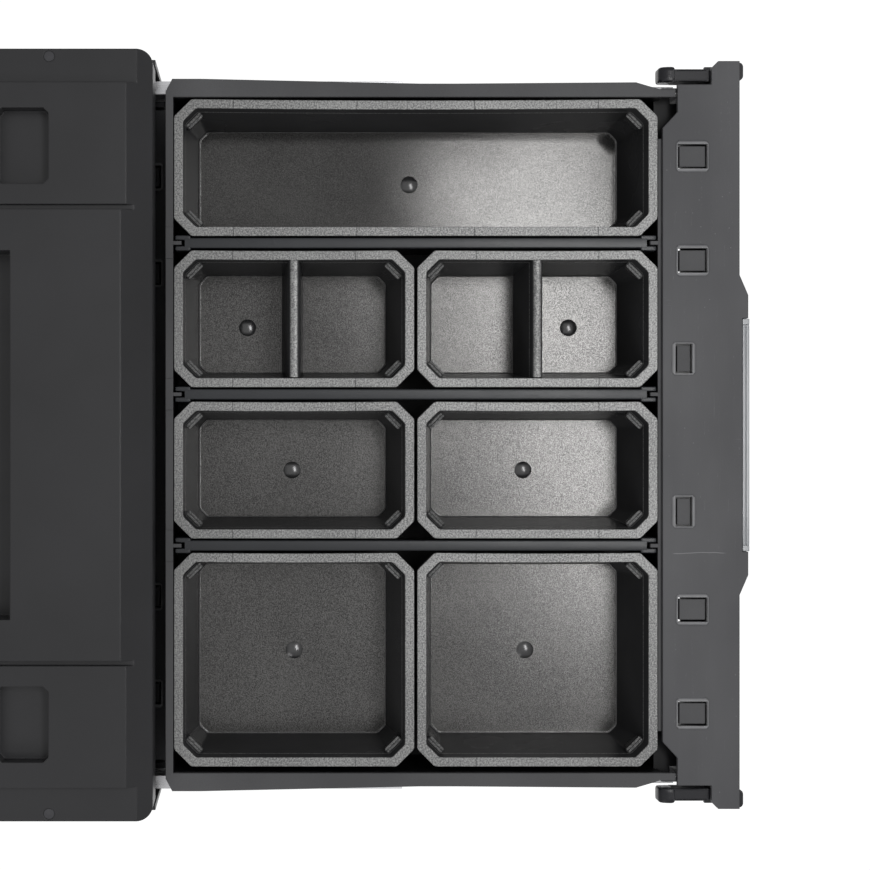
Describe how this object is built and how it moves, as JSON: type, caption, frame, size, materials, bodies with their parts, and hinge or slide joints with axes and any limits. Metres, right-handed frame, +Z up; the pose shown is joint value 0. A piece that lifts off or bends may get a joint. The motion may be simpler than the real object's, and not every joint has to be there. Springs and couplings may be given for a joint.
{
  "type": "socket organizer drawer box",
  "caption": "Stackable tool box with pull-out drawers on telescopic slides; the open upper drawer holds lift-out bins between removable row dividers, with latches and a folding handle.",
  "frame": {"origin": "middle of the casing's footprint on the floor", "axes": "+Z up, the drawers open towards -Y, +X to the right as seen from the front"},
  "size_m": [0.45, 0.6974, 0.25],
  "materials": {
    "casing_plastic": "fine moulded texture",
    "drawer_plastic": "fine moulded texture",
    "cover_plastic": "moulded texture with light wear",
    "latch_plastic": "smooth moulded",
    "bin_plastic": "smooth walls, grained floor",
    "divider_plastic": "moulded",
    "handle_plastic": "moulded",
    "grip_rubber": "soft sleeve",
    "foot_rubber": "ribbed pad",
    "glide_plastic": "smooth low-friction plastic",
    "fastener_steel": "zinc plated",
    "slide_steel": "zinc plated, rolled",
    "pin_steel": "ground",
    "spring_steel": "drawn wire",
    "clear_plastic": "clear, lightly scuffed",
    "label_card": "blank card"
  },
  "bodies": {
    "casing": {"back_panel": "casing_plastic", "base_tray": "casing_plastic", "case_screws": "fastener_steel", "handle_pins": "pin_steel", "left_side_panel": "casing_plastic", "lower_left_outer_rail": "slide_steel", "lower_right_outer_rail": "slide_steel", "middle_crossbar": "casing_plastic", "rail_screws": "fastener_steel", "right_side_panel": "casing_plastic", "rubber_feet": "foot_rubber", "top_cover": "casing_plastic", "upper_left_outer_rail": "slide_steel", "upper_right_outer_rail": "slide_steel"},
    "upper_middle_rails": {"upper_left_glide_strips": "glide_plastic", "upper_left_middle_rail": "slide_steel", "upper_right_glide_strips": "glide_plastic", "upper_right_middle_rail": "slide_steel"},
    "lower_middle_rails": {"lower_left_glide_strips": "glide_plastic", "lower_left_middle_rail": "slide_steel", "lower_right_glide_strips": "glide_plastic", "lower_right_middle_rail": "slide_steel"},
    "upper_drawer": {"upper_drawer_tub": "drawer_plastic", "upper_front_cover": "cover_plastic", "upper_label_card": "label_card", "upper_label_window": "clear_plastic", "upper_latch_pins": "pin_steel", "upper_latch_springs": "spring_steel", "upper_left_inner_rail": "slide_steel", "upper_rail_rivets": "fastener_steel", "upper_right_inner_rail": "slide_steel"},
    "lower_drawer": {"lower_drawer_tub": "drawer_plastic", "lower_front_cover": "cover_plastic", "lower_label_card": "label_card", "lower_label_window": "clear_plastic", "lower_latch_pins": "pin_steel", "lower_latch_springs": "spring_steel", "lower_left_inner_rail": "slide_steel", "lower_rail_rivets": "fastener_steel", "lower_right_inner_rail": "slide_steel"},
    "upper_right_latch_body": {"upper_right_latch": "latch_plastic"},
    "upper_left_latch_body": {"upper_left_latch": "latch_plastic"},
    "lower_right_latch_body": {"lower_right_latch": "latch_plastic"},
    "lower_left_latch_body": {"lower_left_latch": "latch_plastic"},
    "handle": {"carry_handle": "handle_plastic", "handle_grip": "grip_rubber"},
    "long_bin_body": {"long_bin": "bin_plastic"},
    "row_divider_a_body": {"row_divider_a": "divider_plastic"},
    "row_divider_b_body": {"row_divider_b": "divider_plastic"},
    "row_divider_c_body": {"row_divider_c": "divider_plastic"},
    "short_bin_back_body": {"short_bin_back": "bin_plastic"},
    "short_bin_front_body": {"short_bin_front": "bin_plastic"},
    "split_bin_back_body": {"split_bin_back": "bin_plastic"},
    "split_bin_front_body": {"split_bin_front": "bin_plastic"},
    "square_bin_back_body": {"square_bin_back": "bin_plastic"},
    "square_bin_front_body": {"square_bin_front": "bin_plastic"}
  },
  "joints": [
    {"name": "upper_drawer_slide", "type": "slide", "parent": "casing", "child": "upper_drawer", "axis": [0, -1, 0], "range_m": [-0.3335, 0]},
    {"name": "upper_middle_rail_slide", "type": "slide", "parent": "casing", "child": "upper_middle_rails", "axis": [0, -1, 0], "range_m": [-0.16675, 0]},
    {"name": "upper_right_latch_hinge", "type": "hinge", "parent": "upper_drawer", "child": "upper_right_latch_body", "pos_m": [0.2164, -0.5125, 0.1975], "axis": [0, 0, 1], "range_deg": [0, 4], "stiffness_Nm_per_rad": 0.3, "springref_deg": -2.86},
    {"name": "upper_left_latch_hinge", "type": "hinge", "parent": "upper_drawer", "child": "upper_left_latch_body", "pos_m": [-0.2164, -0.5125, 0.1975], "axis": [0, 0, -1], "range_deg": [0, 4], "stiffness_Nm_per_rad": 0.3, "springref_deg": -2.86},
    {"name": "lower_drawer_slide", "type": "slide", "parent": "casing", "child": "lower_drawer", "axis": [0, -1, 0], "range_m": [0, 0.3335]},
    {"name": "lower_middle_rail_slide", "type": "slide", "parent": "casing", "child": "lower_middle_rails", "axis": [0, -1, 0], "range_m": [0, 0.16675]},
    {"name": "lower_right_latch_hinge", "type": "hinge", "parent": "lower_drawer", "child": "lower_right_latch_body", "pos_m": [0.2164, -0.179, 0.1125], "axis": [0, 0, 1], "range_deg": [0, 4], "stiffness_Nm_per_rad": 0.3, "springref_deg": -2.86},
    {"name": "lower_left_latch_hinge", "type": "hinge", "parent": "lower_drawer", "child": "lower_left_latch_body", "pos_m": [-0.2164, -0.179, 0.1125], "axis": [0, 0, -1], "range_deg": [0, 4], "stiffness_Nm_per_rad": 0.3, "springref_deg": -2.86},
    {"name": "long_bin_lift", "type": "slide", "parent": "upper_drawer", "child": "long_bin_body", "axis": [0, 0, 1], "range_m": [0, 0.09]},
    {"name": "row_divider_a_lift", "type": "slide", "parent": "upper_drawer", "child": "row_divider_a_body", "axis": [0, 0, 1], "range_m": [0, 0.09]},
    {"name": "row_divider_b_lift", "type": "slide", "parent": "upper_drawer", "child": "row_divider_b_body", "axis": [0, 0, 1], "range_m": [0, 0.09]},
    {"name": "row_divider_c_lift", "type": "slide", "parent": "upper_drawer", "child": "row_divider_c_body", "axis": [0, 0, 1], "range_m": [0, 0.09]},
    {"name": "short_bin_back_lift", "type": "slide", "parent": "upper_drawer", "child": "short_bin_back_body", "axis": [0, 0, 1], "range_m": [0, 0.09]},
    {"name": "short_bin_front_lift", "type": "slide", "parent": "upper_drawer", "child": "short_bin_front_body", "axis": [0, 0, 1], "range_m": [0, 0.09]},
    {"name": "split_bin_back_lift", "type": "slide", "parent": "upper_drawer", "child": "split_bin_back_body", "axis": [0, 0, 1], "range_m": [0, 0.09]},
    {"name": "split_bin_front_lift", "type": "slide", "parent": "upper_drawer", "child": "split_bin_front_body", "axis": [0, 0, 1], "range_m": [0, 0.09]},
    {"name": "square_bin_back_lift", "type": "slide", "parent": "upper_drawer", "child": "square_bin_back_body", "axis": [0, 0, 1], "range_m": [0, 0.09]},
    {"name": "square_bin_front_lift", "type": "slide", "parent": "upper_drawer", "child": "square_bin_front_body", "axis": [0, 0, 1], "range_m": [0, 0.09]},
    {"name": "handle_hinge", "type": "hinge", "parent": "casing", "child": "handle", "pos_m": [0, 0.022, 0.238], "axis": [-1, 0, 0], "range_deg": [0, 90]}
  ],
  "couplings": [
    {"joint": "upper_middle_rail_slide", "follows": "upper_drawer_slide", "ratio": 0.5},
    {"joint": "lower_middle_rail_slide", "follows": "lower_drawer_slide", "ratio": 0.5}
  ]
}
